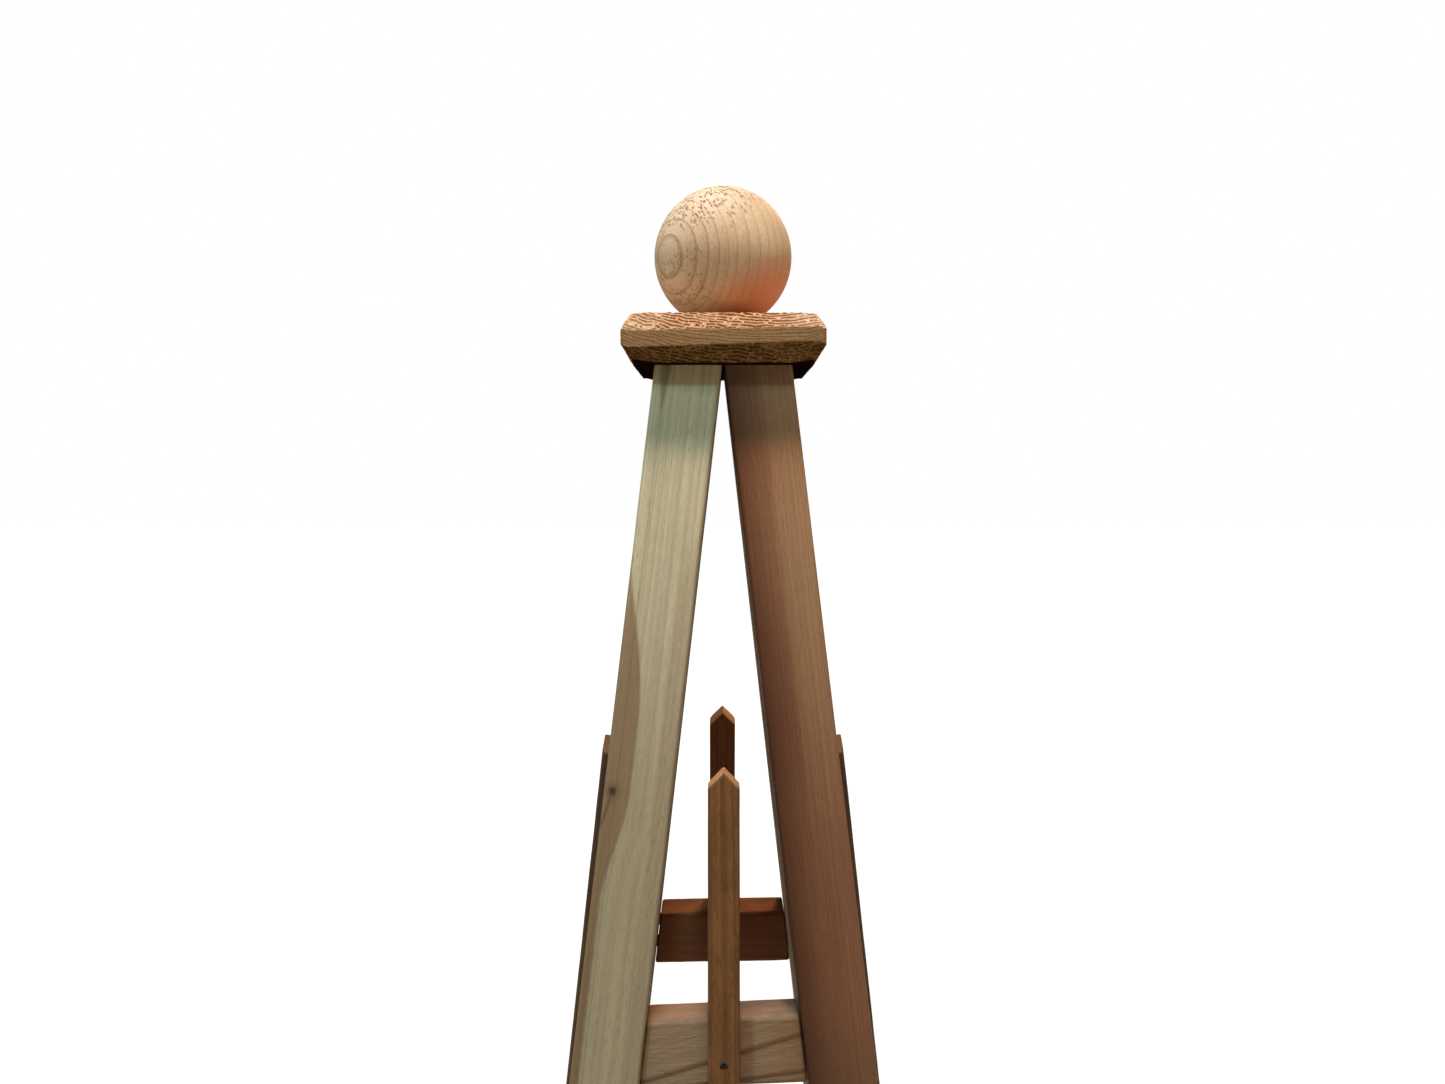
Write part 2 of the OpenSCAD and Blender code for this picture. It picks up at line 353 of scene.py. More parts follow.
def rounded_square(plan, half):
    """Maps the unit square to a square of this half size with round corners."""
    p = plan * half
    core = np.clip(p, -(half - CAP_CORNER), half - CAP_CORNER)
    d = p - core
    longest = np.abs(d).max(1, keepdims=True)
    length = np.linalg.norm(d, axis=1, keepdims=True)
    return core + d * np.where(length > 0, longest / np.maximum(length, 1e-9), 0)


def cap_rows():
    """The rows of points up the cap's sides: how far in, how high all round, and how torn."""
    sides = np.repeat(np.arange(4), CAP_CELLS)
    along = np.tile(CAP_WALK[:-1], 4)
    # How the two bevel lines of each side stray from level: (mean, rise to the right) in metres.
    upper_stray = np.array([(0.0, 0.0013), (0.0004, -0.0005), (-0.0003, 0.0007), (0.0002, -0.0008)])
    lower_stray = np.array([(0.0, 0.0019), (0.0003, 0.0006), (0.0002, -0.0009), (-0.0003, 0.0007)])
    corner = ramp(np.abs(along), *CORNER_WEAR)
    fade = 1 - ramp(np.abs(along), 0.93, 0.07)
    upper = CAP_TOP_FALL - (upper_stray[sides, 0] + upper_stray[sides, 1] * along * fade)
    lower = CAP_LOW_RISE + (lower_stray[sides, 0] + lower_stray[sides, 1] * along * fade)
    foot = CAP_CORNER_LIFT * corner
    head = CAP_CORNER_DROP * corner ** 3
    rows = []
    for f in np.linspace(0, 1, 15):
        rows.append((CAP_LOW_IN * (1 - f), foot + (lower - foot) * f, TORN_UNDER if f < 1 else TORN_NOT))
    for f in np.linspace(0, 1, 13)[1:]:
        rows.append((0.0, lower + (CAP_THICK - upper - lower) * f, TORN_NOT))
    for f in np.linspace(0, 1, 17)[1:]:
        rows.append((CAP_TOP_IN * f ** 1.15, CAP_THICK - upper + (upper - head) * f, TORN_OVER))
    return rows


def cap_sheet(plan, inset, level, droop):
    """The points of the cap's top or underside, bent by droop at the corners."""
    corner = ramp(np.abs(plan).min(1), *CORNER_WEAR) * ramp(np.abs(plan).max(1), 0.9, 0.1)
    return np.column_stack([rounded_square(plan, CAP_HALF - inset), level + droop * corner])


def cap_shape():
    """The cap's points, its faces, how torn each point is and whether it lies on a bevel or a side."""
    walk, ones = CAP_WALK[:-1], np.ones(CAP_CELLS)
    edge = np.concatenate([np.stack([walk, -ones], 1), np.stack([ones, walk], 1),
                           np.stack([-walk, ones], 1), np.stack([-ones, -walk], 1)])
    rows = cap_rows()
    wall = np.stack([np.column_stack([rounded_square(edge, CAP_HALF - inset), z]) for inset, z, _ in rows])
    uu, vv = np.meshgrid(CAP_WALK, CAP_WALK, indexing="ij")
    plan = np.stack([uu.ravel(), vv.ravel()], 1)
    under = cap_sheet(plan, CAP_LOW_IN, 0.0, CAP_CORNER_LIFT)
    over = cap_sheet(plan, CAP_TOP_IN, CAP_THICK, -CAP_CORNER_DROP)
    count = len(plan)
    index = np.arange(count).reshape(CAP_CELLS + 1, CAP_CELLS + 1)
    rim = np.concatenate([index[:-1, 0], index[-1, :-1], index[:0:-1, -1], index[0, :0:-1]])
    under[rim], over[rim] = wall[0], wall[-1]
    inner = wall[1:-1]
    levels, around = inner.shape[:2]
    points = np.concatenate([under, over, inner.reshape(-1, 3)])
    ring = 2 * count + np.arange(levels * around).reshape(levels, around)
    ring = np.concatenate([rim[None], ring, rim[None] + count])
    square = np.stack([index[:-1, :-1], index[1:, :-1], index[1:, 1:], index[:-1, 1:]], -1).reshape(-1, 4)
    faces = np.concatenate([square[:, ::-1], square + count, quads(ring)])
    out = np.abs(plan).max(1)
    torn = np.concatenate([np.where(out > 0.985, TORN_UNDER, TORN_BELOW), np.full(count, TORN_OVER),
                           np.repeat([row[2] for row in rows[1:-1]], around)])
    on_side = np.concatenate([out > 0.97, out > 0.97, np.ones(levels * around)])
    return points, faces, torn, on_side


def cap_piece(material):
    """The cap: its bevels are rough sawn, and the faces under the ball and over the legs are true."""
    points, faces, torn, on_side = cap_shape()
    mesh = make_mesh("cap_board", points.tolist(), faces.tolist())
    normals = np.array([v.normal for v in mesh.vertices])
    depth = np.where(torn > 0.5, SAWN_OVER, np.where(torn < -0.5, SAWN_UNDER, SAWN_NOT)) * on_side
    points = points + normals * (depth * rough(points, 71, 0.0016, 0.005))[:, None]
    mesh.vertices.foreach_set("co", points.astype(np.float32).ravel())
    mesh.attributes.new("torn", "FLOAT", "POINT").data.foreach_set("value", torn.astype(np.float32))
    mesh.update()
    smooth(mesh, 25)
    # The grain runs from the front of the cap to its back.
    grain_turn = Matrix.Rotation(math.pi / 2, 4, "X")
    mesh.transform(grain_turn)
    place_piece("cap_board", "cap", mesh, Matrix.Translation((0, 0, cap_low.z)) @ grain_turn.inverted(),
                material)


def ball_piece(material):
    """The turned ball, cut flat where it sits on the cap."""
    centre = ball_high.z - BALL_R
    seat = ball_low.z - centre
    last = math.acos(max(-1.0, seat / BALL_R))
    down, around = 170, 300
    polar = np.linspace(0, last, down + 1)[1:]
    turn = np.arange(around) * math.tau / around
    rings = np.stack([np.outer(np.sin(polar), np.cos(turn)), np.outer(np.sin(polar), np.sin(turn)),
                      np.outer(np.cos(polar), np.ones(around))], -1).reshape(-1, 3) * BALL_R
    points = np.concatenate([[[0, 0, BALL_R]], rings])
    index = 1 + np.arange(down * around).reshape(down, around)
    faces = quads(index)[:, [0, 3, 2, 1]].tolist()
    faces += [[0, int(index[0, i - 1]), int(index[0, i])] for i in range(around)]
    faces.append(index[-1][::-1].tolist())
    mesh = make_mesh("ball", points.tolist(), faces)
    smooth(mesh, 40)
    place_piece("ball", "ball_finial", mesh, Matrix.Translation((0, 0, centre)), material)


# ---- Materials ---------------------------------------------------------------

WHITE = (1.0, 1.0, 1.0)
MIX_A, MIX_B, MIX_RESULT = 6, 7, 2         # the colour sockets of a Mix node


class Nodes:
    """Short calls that build the node tree of a material or a world."""

    def __init__(self, owner):
        owner.use_nodes = True
        self.owner = owner
        self.tree = owner.node_tree
        self.shader = self.tree.nodes.get("Principled BSDF")

    def fill(self, socket, value):
        if isinstance(value, bpy.types.NodeSocket):
            self.tree.links.new(value, socket)
        elif isinstance(value, (tuple, list)) and socket.type == "RGBA":
            socket.default_value = (*value, 1.0)
        else:
            socket.default_value = value

    def node(self, kind, **settings):
        made = self.tree.nodes.new(kind)
        for key, value in settings.items():
            setattr(made, key, value)
        return made

    def math(self, operation, a, b=0.0, c=0.0, clamp=False):
        made = self.node("ShaderNodeMath", operation=operation, use_clamp=clamp)
        for socket, value in zip(made.inputs, (a, b, c)):
            self.fill(socket, value)
        return made.outputs[0]

    def times(self, *factors):
        product = factors[0]
        for factor in factors[1:]:
            product = self.math("MULTIPLY", product, factor)
        return product

    def scaled(self, value, factor, plus, clamp=False):
        return self.math("MULTIPLY_ADD", value, factor, plus, clamp)

    def minus(self, a, b):
        return self.math("SUBTRACT", a, b)

    def size(self, value, clamp=False):
        return self.math("ABSOLUTE", value, clamp=clamp)

    def invert(self, value):
        return self.minus(1.0, value)

    def swing(self, value, amount, middle=1.0):
        """A value of 0 to 1, made to swing round middle by this amount in all."""
        return self.scaled(self.minus(value, 0.5), amount, middle)

    def vector(self, operation, a, b=(0.0, 0.0, 0.0)):
        made = self.node("ShaderNodeVectorMath", operation=operation)
        self.fill(made.inputs[0], a)
        self.fill(made.inputs[1], b)
        return made.outputs["Value"] if operation in ("LENGTH", "DOT_PRODUCT") else made.outputs[0]

    def dot(self, a, b):
        return self.vector("DOT_PRODUCT", a, b)

    def length(self, vector):
        return self.vector("LENGTH", vector)

    def attribute(self, name):
        return self.node("ShaderNodeAttribute", attribute_name=name).outputs["Vector"]

    def split(self, vector):
        made = self.node("ShaderNodeSeparateXYZ")
        self.fill(made.inputs[0], vector)
        return made.outputs

    def join(self, x, y, z):
        made = self.node("ShaderNodeCombineXYZ")
        for socket, value in zip(made.inputs, (x, y, z)):
            self.fill(socket, value)
        return made.outputs[0]

    def noise(self, place, stretch, detail=2.0, roughness=0.5, output="Fac"):
        """Fractal noise, of 0 to 1, with this many features a metre along each axis."""
        made = self.node("ShaderNodeTexNoise")
        self.fill(made.inputs["Vector"], self.vector("MULTIPLY", place, stretch))
        made.inputs["Scale"].default_value = 1.0
        made.inputs["Detail"].default_value = detail
        made.inputs["Roughness"].default_value = roughness
        return made.outputs[output]

    def drift(self, place, stretch, detail):
        """A vector of noise round zero."""
        colour = self.noise(place, stretch, detail, output="Color")
        return self.vector("SUBTRACT", colour, (0.5, 0.5, 0.5))

    def cells(self, place, stretch):
        """Distance to the nearest of a scatter of points, in cells, and that cell's random colour."""
        made = self.node("ShaderNodeTexVoronoi")
        self.fill(made.inputs["Vector"], self.vector("MULTIPLY", place, stretch))
        made.inputs["Scale"].default_value = 1.0
        return made.outputs["Distance"], made.outputs["Color"]

    def step(self, value, low, high, smooth_edges=True):
        """0 below low, 1 above high."""
        made = self.node("ShaderNodeMapRange", interpolation_type="SMOOTHSTEP" if smooth_edges else "LINEAR")
        self.fill(made.inputs["Value"], value)
        made.inputs["From Min"].default_value = low
        made.inputs["From Max"].default_value = high
        return made.outputs[0]

    def span(self, value, rise, fall):
        """1 between two soft edges. Each is given as where it is 0 and where it is 1."""
        return self.times(self.step(value, *rise), self.step(value, *fall))

    def zone(self, place, direction, start, full):
        """0 up to start and 1 from full on, along this direction."""
        return self.step(self.dot(place, direction), start, full)

    def mix(self, factor, a, b, blend_type="MIX"):
        made = self.node("ShaderNodeMix", data_type="RGBA", blend_type=blend_type)
        self.fill(made.inputs["Factor"], factor)
        self.fill(made.inputs[MIX_A], a)
        self.fill(made.inputs[MIX_B], b)
        return made.outputs[MIX_RESULT]

    def tint(self, colour, amount, full, none=WHITE):
        """The colour multiplied by full where amount is 1, and by none where it is 0."""
        return self.mix(1.0, colour, self.mix(amount, none, full), "MULTIPLY")

    def tone(self, colour, value):
        """The colour made lighter or darker by a factor."""
        made = self.node("ShaderNodeHueSaturation")
        self.fill(made.inputs["Value"], value)
        self.fill(made.inputs["Color"], colour)
        return made.outputs[0]

    def bump(self, height, distance):
        made = self.node("ShaderNodeBump")
        made.inputs["Distance"].default_value = distance
        self.fill(made.inputs["Height"], height)
        return made.outputs[0]

    def finish(self, colour, roughness, normal, specular=0.3):
        self.fill(self.shader.inputs["Base Color"], colour)
        self.fill(self.shader.inputs["Roughness"], roughness)
        self.fill(self.shader.inputs["Normal"], normal)
        self.shader.inputs["Specular IOR Level"].default_value = specular
        return self.owner


def material_nodes(name):
    return Nodes(bpy.data.materials.new(name))


def growth_rings(n, ring_x, ring_y, pith, ring, uneven, late_span, seed):
    """How late in its year the wood grew, from 0 to 1, in rings round the pith."""
    from_pith = n.join(n.minus(ring_x, pith[0]), n.minus(ring_y, pith[1]), 0.0)
    count = n.math("DIVIDE", n.length(from_pith), ring)
    wave = n.math("SINE", n.scaled(count, 1.7, seed))
    growth = n.math("FRACT", n.scaled(wave, uneven, count))
    return n.span(growth, late_span, (1.0, 0.94))


def rubbed_arrises(n, colour, place, x, y, half, share, gain):
    """Paler wood in patches along the long edges."""
    band = 0.0016
    edge_x = n.minus(n.size(x), half[0] - band)
    edge_y = n.minus(n.size(y), half[1] - band)
    rubbed = n.step(n.math("MINIMUM", edge_x, edge_y), 0.0, band)
    rubbed = n.times(rubbed, n.step(n.noise(place, (200, 200, 45)), 0.35, 0.6))
    return n.mix(n.times(rubbed, share), colour, n.tone(colour, 1 + gain))


def timber(name, early, late, seed, half, pith=(0.15, 0.09), ring=0.004, slant=0.0, sway=0.002,
           ring_depth=0.5, late_span=(0.35, 0.9), uneven=0.28, streak=0.25, bend=None, touch=None,
           arris=(0.5, 0.4), fleck=0.2, bump=0.0002):
    """Cedar, with the grain along z of the grain coordinates.

    early and late are the colours of a growth ring. half is the half thickness in x and y. pith is
    where the rings' centre lies, ring their mean width, uneven how much they vary and slant their
    drift in x for each metre along the grain. arris is how much of the edges is rubbed, and how much
    paler. bend(n, x, z) moves the rings in x, and touch(n, colour, x, ring_x, y, z) adds what is
    special to one piece."""
    n = material_nodes(name)
    grain = n.attribute("grain")
    x, y, z = n.split(grain)
    place = n.vector("ADD", grain, (0.173 * seed, 0.291 * seed, 0.617 * seed))
    drift_x, drift_y, _ = n.split(n.drift(place, (16, 16, 2.2), 1.0))
    ring_x = n.scaled(z, slant, n.scaled(drift_x, sway * 4, x))
    ring_y = n.scaled(drift_y, sway * 4, y)
    if bend is not None:
        ring_x = n.math("ADD", ring_x, bend(n, x, z))
    lateness = growth_rings(n, ring_x, ring_y, pith, ring, uneven, late_span, seed)
    fibres = n.noise(place, (950, 950, 16), 3.0, 0.65)
    streaks = n.noise(place, (330, 330, 5), 3.0, 0.6)
    pores = n.noise(place, (1050, 1050, 260), 2.0, 0.6)
    colour = n.mix(n.times(lateness, ring_depth), early, late)
    if touch is not None:
        colour = touch(n, colour, x, ring_x, y, z)
    shade = n.swing(fibres, streak * 2.2, n.swing(streaks, streak * 2))
    colour = n.tone(colour, n.swing(pores, streak * 2, shade))
    # Short dark flecks, where the plane lifted the fibres.
    near, _ = n.cells(place, (760, 760, 90))
    torn = n.times(n.step(near, 0.26, 0.1), n.step(streaks, 0.48, 0.6))
    colour = n.mix(n.times(torn, fleck), colour, tuple(c * 0.35 for c in late))
    colour = rubbed_arrises(n, colour, place, x, y, half, *arris)
    height = n.scaled(fibres, 0.7, n.times(lateness, 0.25))
    height = n.scaled(pores, 0.5, height)
    height = n.scaled(torn, -0.8, height)
    roughness = n.scaled(streaks, 0.25, 0.55)
    return n.finish(colour, roughness, n.bump(height, bump))


def cap_gaps(n, grain, x, z, count, growth, ends):
    """Rows of open gaps, a millimetre or so long, between raised fibres; the cap's wood paints them dark,
    partly as torn fibre and partly as painted shade in the gaps. There are fewer at the ends.
    """
    row = n.span(growth, (0.06, 0.22), (0.76, 0.58))
    row_place = n.join(n.times(x, 330), n.times(n.math("FLOOR", count), 3.7), n.times(z, 330))
    run = n.noise(row_place, (1, 1, 1), 1.0)
    broad = n.noise(grain, (70, 70, 25), 3.0)
    gaps = n.times(row, n.step(run, 0.4, 0.47), n.step(broad, 0.25, 0.45))
    return n.times(gaps, n.scaled(ends, -0.3, 1.0))


def cap_cedar(name):
    """The cap's wood: smooth sides with fine wavy rings, and torn end grain on the two bevels, with painted
    shade on the lower bevel and the underside.
    """
    n = material_nodes(name)
    grain = n.attribute("grain")
    x, y, z = n.split(grain)
    torn = n.node("ShaderNodeAttribute", attribute_name="torn").outputs["Fac"]
    drift_x, drift_y, _ = n.split(n.drift(grain, (42, 55, 18), 2.0))
    away_x = n.scaled(drift_x, 0.002, n.minus(x, 0.02))
    away_y = n.scaled(drift_y, 0.008, n.math("ADD", y, 0.21))
    speck = n.noise(grain, (1100, 1100, 700), 3.0, 0.7)
    count = n.math("DIVIDE", n.length(n.join(away_x, away_y, 0.0)), 0.0017)
    count = n.swing(speck, 0.16, count)
    growth = n.math("FRACT", count)
    line = n.span(growth, (0.4, 0.85), (1.0, 0.93))
    ends = n.step(n.size(x), 0.022, 0.046)
    gaps = cap_gaps(n, grain, x, z, count, growth, ends)
    smooth_wood = n.mix(n.times(line, 0.9), (0.34, 0.205, 0.1), (0.155, 0.08, 0.036))
    smooth_wood = n.tone(smooth_wood, n.swing(speck, 1.1))
    torn_wood = n.mix(n.step(speck, 0.38, 0.62), (0.42, 0.215, 0.105), (0.66, 0.44, 0.27))
    torn_wood = n.mix(n.times(ends, 0.5), torn_wood, (0.7, 0.5, 0.34))
    torn_wood = n.mix(n.times(line, 0.25), torn_wood, (0.3, 0.12, 0.05))
    # Gaps painted near black here and on the lower bevel: dark torn fibre and painted shade in the gaps.
    torn_wood = n.mix(n.times(gaps, 0.92), torn_wood, (0.15, 0.036, 0.012))
    # The underside bevel is torn as well, and darker as painted shade. The underside itself is painted
    # nearly black, as shade.
    low_wood_and_shade = n.mix(n.step(speck, 0.36, 0.64), (0.125, 0.054, 0.017), (0.36, 0.2, 0.075))
    low_wood_and_shade = n.mix(n.times(gaps, 0.8), low_wood_and_shade, (0.05, 0.02, 0.008))
    low_wood_and_shade = n.mix(n.step(torn, -1.05, -1.6), low_wood_and_shade, (0.02, 0.01, 0.005))
    colour = n.mix(n.step(torn, 0.3, 0.8), smooth_wood, torn_wood)
    colour = n.mix(n.step(torn, -0.3, -0.8), colour, low_wood_and_shade)
    rawness = n.size(torn, clamp=True)
    height = n.scaled(gaps, -1.3, n.times(speck, 0.5))
    height = n.times(height, n.scaled(rawness, 0.85, 0.15))
    return n.finish(colour, n.scaled(rawness, 0.25, 0.65), n.bump(height, 0.0006), 0.0)


# The ball's rings: (width, their count at its middle). They are narrow by the ball's left end, and
# wider and fainter further on.
NEAR_RINGS = (0.00428, 10.136)
FAR_RINGS = (0.00665, 8.637)


def ball_rings(n, across):
    """The broad late wood of the ball's rings, and the thin dark line that closes each of them."""
    near, far = [n.scaled(across, -1 / width, count) for width, count in (NEAR_RINGS, FAR_RINGS)]
    growth = n.math("FRACT", n.math("MINIMUM", near, far))
    bold = n.scaled(n.step(across, 0.022, 0.034), 0.4, 0.55)
    late = n.times(n.step(growth, 0.25, 0.98, False), n.step(growth, 1.0, 0.93))
    late = n.times(late, n.times(bold, n.step(across, 0.0403, 0.0396)))
    return late, n.times(n.span(growth, (0.72, 0.93), (1.0, 0.93)), bold)


def ball_flecks(n, grain, across):
    """Torn flecks, thickest over the top, the upper left and the left end."""
    along = n.dot(grain, (0.38, -0.52, -0.76))
    beside = n.dot(grain, (0.41, -0.64, 0.64))
    near, pick = n.cells(n.join(across, beside, along), (860, 860, 300))
    top = n.zone(grain, (-0.28, -0.3, 0.91), 0.010, 0.036)
    end = n.zone(grain, (-0.85, -0.3, -0.42), 0.014, 0.034)
    crowd = n.math("MAXIMUM", top, n.times(end, 0.6))
    patchy = n.noise(grain, (130, 130, 90))
    clump = n.step(n.scaled(crowd, 0.16, patchy), 0.51, 0.61)
    chosen = n.step(n.scaled(crowd, 0.3, n.split(pick)[0]), 0.66, 0.7)
    fleck = n.times(n.step(near, 0.5, 0.34), n.times(chosen, clump))
    return n.times(fleck, n.scaled(crowd, 0.85, 0.15, clamp=True))


def ball_cedar(name):
    """The ball's wood: near flat growth layers that cross it at a slant, with torn flecks on top."""
    n = material_nodes(name)
    grain = n.attribute("grain")
    wander = n.dot(n.drift(grain, (14, 14, 9), 1.0), (1, 1, 1))
    across = n.dot(grain, (-0.8, -0.6, -0.09))
    across = n.math("ADD", across, n.times(wander, 0.0022))
    late, thin = ball_rings(n, across)
    fibres = n.noise(grain, (900, 900, 40), 3.0, 0.6)
    speck = n.noise(grain, (1100, 1100, 500), 2.0, 0.6)
    broad = n.noise(grain, (40, 40, 22))
    colour = n.mix(n.times(late, 0.42), (0.53, 0.4, 0.275), (0.38, 0.245, 0.15))
    colour = n.mix(n.times(thin, 0.45), colour, (0.25, 0.13, 0.065))
    colour = n.mix(n.times(n.step(broad, 0.45, 0.7), 0.3), colour, (0.48, 0.32, 0.2))
    # Painted reflected light: the lower right is tinted red orange, as if lit from the cap below it.
    red = n.zone(grain, (0.6, -0.2, -0.77), 0.02, 0.038)
    colour = n.mix(n.times(red, 0.85), colour, (0.46, 0.14, 0.052))
    # Painted light and shade: browner in front as painted shade, paler and cooler at the upper left as
    # painted light, and duller at the upper right as painted shade.
    for direction, start, full, tint in (
            ((-0.1, -0.99, -0.1), 0.028, 0.041, (0.94, 0.85, 0.76)),
            ((-0.5, -0.5, 0.7), 0.018, 0.038, (0.97, 1.05, 1.13)),
            ((0.65, -0.2, 0.73), 0.016, 0.04, (0.82, 0.84, 0.8))):
        colour = n.tint(colour, n.zone(grain, direction, start, full), tint)
    colour = n.tone(colour, n.swing(fibres, 0.35, n.swing(speck, 0.5)))
    fleck = ball_flecks(n, grain, across)
    colour = n.mix(n.times(fleck, 0.82), colour, (0.21, 0.085, 0.035))
    height = n.scaled(fleck, -1.6, n.times(speck, 0.45))
    height = n.scaled(thin, -0.35, height)
    return n.finish(colour, 0.66, n.bump(height, 0.0004), 0.2)


def steel(name):
    """Dull steel with a dark bronze coating, scuffed a little. Its darkness is in part painted shade of the
    recess round a lath screw's head.
    """
    n = material_nodes(name)
    place = n.node("ShaderNodeTexCoord").outputs["Object"]
    scuffs = n.noise(place, (900, 900, 900), 3.0, 0.6)
    colour = n.mix(n.step(scuffs, 0.4, 0.7), (0.1, 0.085, 0.06), (0.27, 0.23, 0.17))
    n.shader.inputs["Metallic"].default_value = 1.0
    return n.finish(colour, n.scaled(scuffs, 0.3, 0.3), n.bump(scuffs, 0.00005), 0.5)


def beech(name):
    """Pale dowel wood with fine darker flecks."""
    n = material_nodes(name)
    place = n.node("ShaderNodeTexCoord").outputs["Object"]
    pores = n.noise(place, (1200, 1200, 1200), 3.0, 0.6)
    colour = n.mix(n.noise(place, (90, 90, 90)), (0.62, 0.44, 0.26), (0.5, 0.33, 0.18))
    colour = n.mix(n.step(pores, 0.6, 0.72), colour, (0.3, 0.17, 0.08))
    return n.finish(colour, n.scaled(pores, 0.2, 0.5), n.bump(pores, 0.0001))


# ---- Legs: their timber ------------------------------------------------------

# A leg's grain coordinate z is its slant length, a little more than its height.
LEG_STRETCH = math.sqrt(1 + 2 * SLOPE ** 2)
KNOT_DEPTH, KNOT_X = 0.240, -0.0141        # the knot's place on the front left leg


def below_cap(n, z, start, end):
    """Rises from 0 to 1 between two depths under the top of a leg."""
    return n.step(z, (LEG_TOP - start) * LEG_STRETCH, (LEG_TOP - end) * LEG_STRETCH)


def band_below_cap(n, z, rise, fall):
    """Rises from 0 to 1 between two depths under the top of a leg, and falls between two others."""
    return n.minus(below_cap(n, z, *rise), below_cap(n, z, *fall))


def contact_shade(n, z):
    """Painted shade on a leg, close under the cap."""
    return band_below_cap(n, z, (0.002, 0.006), (0.014, 0.02))


def left_bend(n, x, z):
    """The rings of the front left leg step out to the left below its knot."""
    weight = n.scaled(x, -20.0, 0.72)
    return n.times(below_cap(n, z, 0.238, 0.300), 0.0092, weight)


def heartwood(n, colour, ring_x, z):
    """The darker core of the front left leg, and the dark line along it."""
    boundary = n.scaled(below_cap(n, z, 0.09, 0.2), 0.0155, -0.0205)
    inside = n.minus(boundary, ring_x)
    heart = n.times(n.step(inside, -0.0012, 0.0014), below_cap(n, z, 0.06, 0.15))
    core = n.mix(below_cap(n, z, 0.2, 0.36), (0.285, 0.172, 0.083), (0.255, 0.14, 0.06))
    colour = n.mix(n.times(heart, 0.88), colour, core)
    line = n.step(n.size(n.minus(inside, 0.0001)), 0.0014, 0.0002)
    line = n.times(line, below_cap(n, z, 0.1, 0.17))
    return n.mix(n.times(line, 0.45), colour, (0.17, 0.1, 0.05))


def knot(n, colour, x, z):
    """A knot with a halo, and a dark trail below it."""
    up = n.minus(z, (LEG_TOP - KNOT_DEPTH) * LEG_STRETCH)
    away = n.length(n.join(n.minus(x, KNOT_X), n.times(up, 0.8), 0.0))
    colour = n.mix(n.times(n.step(away, 0.0068, 0.0012), 0.62), colour, (0.17, 0.095, 0.045))
    colour = n.mix(n.times(n.step(away, 0.0027, 0.001), 0.9), colour, (0.045, 0.022, 0.01))
    beside = n.minus(n.scaled(up, -0.22, x), KNOT_X)
    trail = n.step(n.size(beside), 0.0016, 0.0003)
    trail = n.times(trail, n.span(up, (0.0, -0.003), (-0.026, -0.018)))
    return n.mix(n.times(trail, 0.6), colour, (0.13, 0.07, 0.035))


def left_touch(n, colour, x, ring_x, y, z):
    """The front left leg: browner towards the ground, with heartwood, a knot, a stain, and painted shade
    under the cap.
    """
    colour = n.mix(n.times(below_cap(n, z, 0.1, 0.26), 0.5), colour, (0.375, 0.275, 0.16))
    colour = heartwood(n, colour, ring_x, z)
    strip = n.times(n.span(x, (0.0075, 0.0115), (0.0175, 0.0155)), below_cap(n, z, 0.09, 0.13))
    colour = n.mix(n.times(strip, 0.33), colour, (0.3, 0.19, 0.1))
    colour = knot(n, colour, x, z)
    # Painted shadow of the cap: cooler and darker down to about 5 cm under it.
    colour = n.tint(colour, n.invert(below_cap(n, z, 0.042, 0.057)), (0.84, 0.91, 0.92))
    # Painted shade close under the cap.
    colour = n.tint(colour, contact_shade(n, z), (0.83, 0.85, 0.8))
    width = n.times(n.invert(below_cap(n, z, 0.002, 0.036)), 0.0031)
    stain = n.minus(width, n.size(n.math("ADD", x, 0.0122)))
    return n.mix(n.times(n.step(stain, -0.0011, 0.0013), 0.68), colour, (0.15, 0.125, 0.06))


def right_touch(n, colour, x, ring_x, y, z):
    """The front right leg: darker and redder to its left and towards the ground, with painted shade: dull
    under the cap, darker close under it and from about 0.4 m down.
    """
    wander = n.noise(n.join(0.0, 0.0, z), (1, 1, 14))
    across = n.swing(wander, 0.008, y)
    share = n.math("POWER", n.step(across, -0.017, 0.019, False), 1.5)
    colour = n.tint(colour, share, (0.46, 0.31, 0.17), (1.16, 1.12, 1.04))
    red = n.times(n.step(across, -0.003, 0.005), n.invert(below_cap(n, z, 0.19, 0.3)))
    # Painted shadow of the cap, down to about 5 cm under it.
    cap_shadow = n.invert(below_cap(n, z, 0.036, 0.057))
    warm = n.times(below_cap(n, z, 0.028, 0.045), n.invert(below_cap(n, z, 0.05, 0.1)))
    even = band_below_cap(n, z, (0.03, 0.06), (0.1, 0.17))
    shady = n.times(n.step(across, 0.004, 0.016), n.scaled(even, -0.7, 1.0))
    middle = n.times(band_below_cap(n, z, (0.1, 0.16), (0.2, 0.25)), n.step(across, -0.001, 0.003))
    # The lowest part, from about 0.4 m under the cap down, is painted shade.
    lowest, low = below_cap(n, z, 0.345, 0.4), below_cap(n, z, 0.11, 0.31)
    # Of these tints, the dull one under the cap, the one close under it and the lowest are painted shade.
    for amount, tint in (
            (red, (0.86, 0.72, 0.7)), (cap_shadow, (0.74, 0.77, 0.70)), (warm, (1.0, 0.92, 0.83)),
            (shady, (0.78, 0.78, 0.7)), (middle, (0.87, 0.81, 0.8)), (contact_shade(n, z), (0.78, 0.87, 0.8)),
            (lowest, (0.79, 0.84, 0.79)), (low, (0.72, 0.54, 0.48))):
        colour = n.tint(colour, amount, tint)
    return colour


